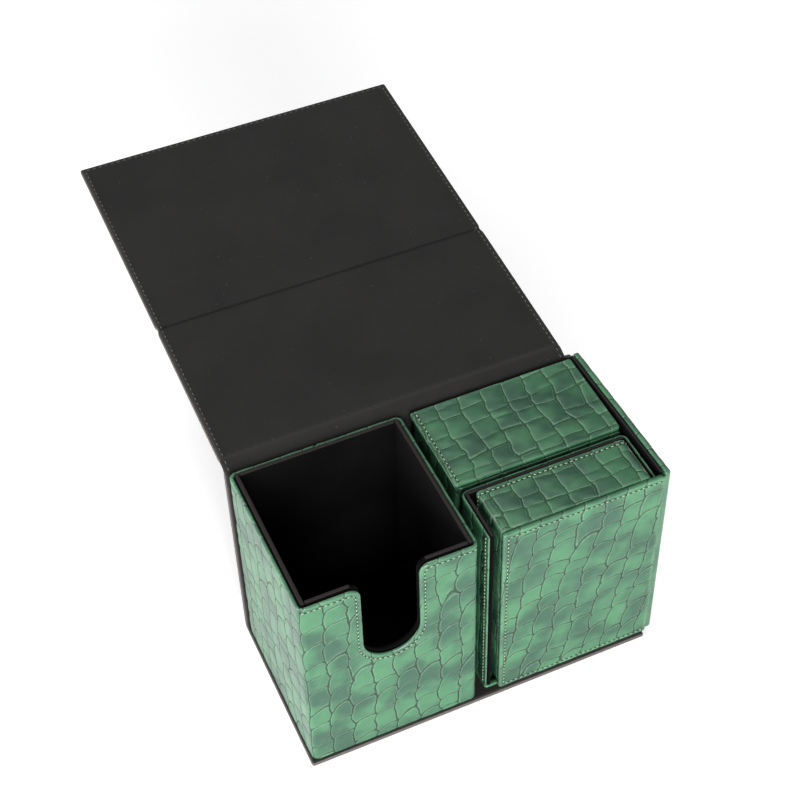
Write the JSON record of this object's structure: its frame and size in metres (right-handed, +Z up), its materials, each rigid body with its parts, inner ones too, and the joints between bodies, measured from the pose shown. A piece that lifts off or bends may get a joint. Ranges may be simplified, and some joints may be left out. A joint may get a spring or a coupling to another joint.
{
  "type": "card deck box",
  "caption": "Book-style card deck box: folding lid and front flap, open deck box with thumb notch, and a companion box with a pull-out front tray, side flap and lift-out rear tray.",
  "frame": {"origin": "centre of the cover's flat underside, under the base panel", "axes": "+X to the right along the front, +Y from the front to the spine, +Z up"},
  "size_m": [0.162, 0.2703, 0.1225],
  "materials": {
    "green_leather": "green leatherette with an embossed crocodile grain, semi-gloss",
    "black_leather": "fine-grained black leatherette, matte",
    "black_lining": "charcoal microfibre, matte",
    "brown_liner": "brown-grey microfibre over board, matte",
    "greyboard": "grey bookbinding board",
    "magnet": "nickel-plated disc magnet"
  },
  "bodies": {
    "cover_and_deck_box": {"base_skin": "black_leather", "base_board": "greyboard", "base_lining": "black_lining", "spine_skin": "black_leather", "spine_board": "greyboard", "spine_lining": "black_lining", "lid_hinge_cloth": "black_lining", "deck_leather": "green_leather", "deck_board_front": "greyboard", "deck_board_back": "greyboard", "deck_board_left": "greyboard", "deck_board_right": "greyboard", "deck_magnet": "magnet", "deck_floor": "greyboard", "deck_liner_left": "brown_liner", "deck_liner_right": "brown_liner", "deck_liner_back": "brown_liner", "deck_liner_front": "brown_liner", "deck_liner_floor": "brown_liner"},
    "lid": {"lid_skin": "black_leather", "lid_board": "greyboard", "lid_lining": "black_lining"},
    "front_flap": {"flap_skin": "black_leather", "flap_board": "greyboard", "flap_lining": "black_lining", "flap_magnet_left": "magnet", "flap_magnet_right": "magnet"},
    "companion_box": {"companion_floor": "green_leather", "front_shell_leather": "green_leather", "front_shell_board_left": "greyboard", "front_shell_board_right": "greyboard", "front_shell_board_back": "greyboard", "front_shell_liner_left": "brown_liner", "front_shell_liner_right": "brown_liner", "front_shell_liner_back": "brown_liner", "rear_shell_leather": "green_leather", "rear_shell_board_front": "greyboard", "rear_shell_board_back": "greyboard", "rear_shell_board_left": "greyboard"},
    "front_tray": {"front_tray_leather": "green_leather", "front_tray_board": "greyboard", "front_tray_lining": "brown_liner", "door_leather": "green_leather", "door_board": "greyboard", "door_magnet": "magnet"},
    "side_flap": {"side_flap_leather": "green_leather", "side_flap_board": "greyboard", "side_flap_magnet": "magnet", "side_flap_liner": "brown_liner"},
    "rear_tray": {"rear_tray_leather": "green_leather", "rear_tray_board": "greyboard", "rear_tray_lining": "brown_liner", "rear_tray_magnet": "magnet", "rear_tray_cap_leather": "green_leather", "rear_tray_cap_board": "greyboard"}
  },
  "joints": [
    {"name": "lid_hinge", "type": "hinge", "parent": "cover_and_deck_box", "child": "lid", "pos_m": [0, 0.0389, 0.1079], "axis": [-1, 0, 0], "range_deg": [-175.5, 22]},
    {"name": "front_flap_crease", "type": "hinge", "parent": "lid", "child": "front_flap", "pos_m": [0, 0.12118, 0.11267], "axis": [-1, 0, 0], "range_deg": [-90, 15]},
    {"name": "companion_box_lift", "type": "slide", "parent": "cover_and_deck_box", "child": "companion_box", "axis": [0, 0, 1], "range_m": [0, 0.11]},
    {"name": "front_tray_pull", "type": "slide", "parent": "companion_box", "child": "front_tray", "axis": [0, -1, 0], "range_m": [0, 0.03]},
    {"name": "side_flap_hinge", "type": "hinge", "parent": "front_tray", "child": "side_flap", "pos_m": [0.08175, -0.0394, 0.055], "axis": [0, 0, -1], "range_deg": [0, 120]},
    {"name": "rear_tray_lift", "type": "slide", "parent": "companion_box", "child": "rear_tray", "axis": [0, 0, 1], "range_m": [0, 0.102]}
  ]
}
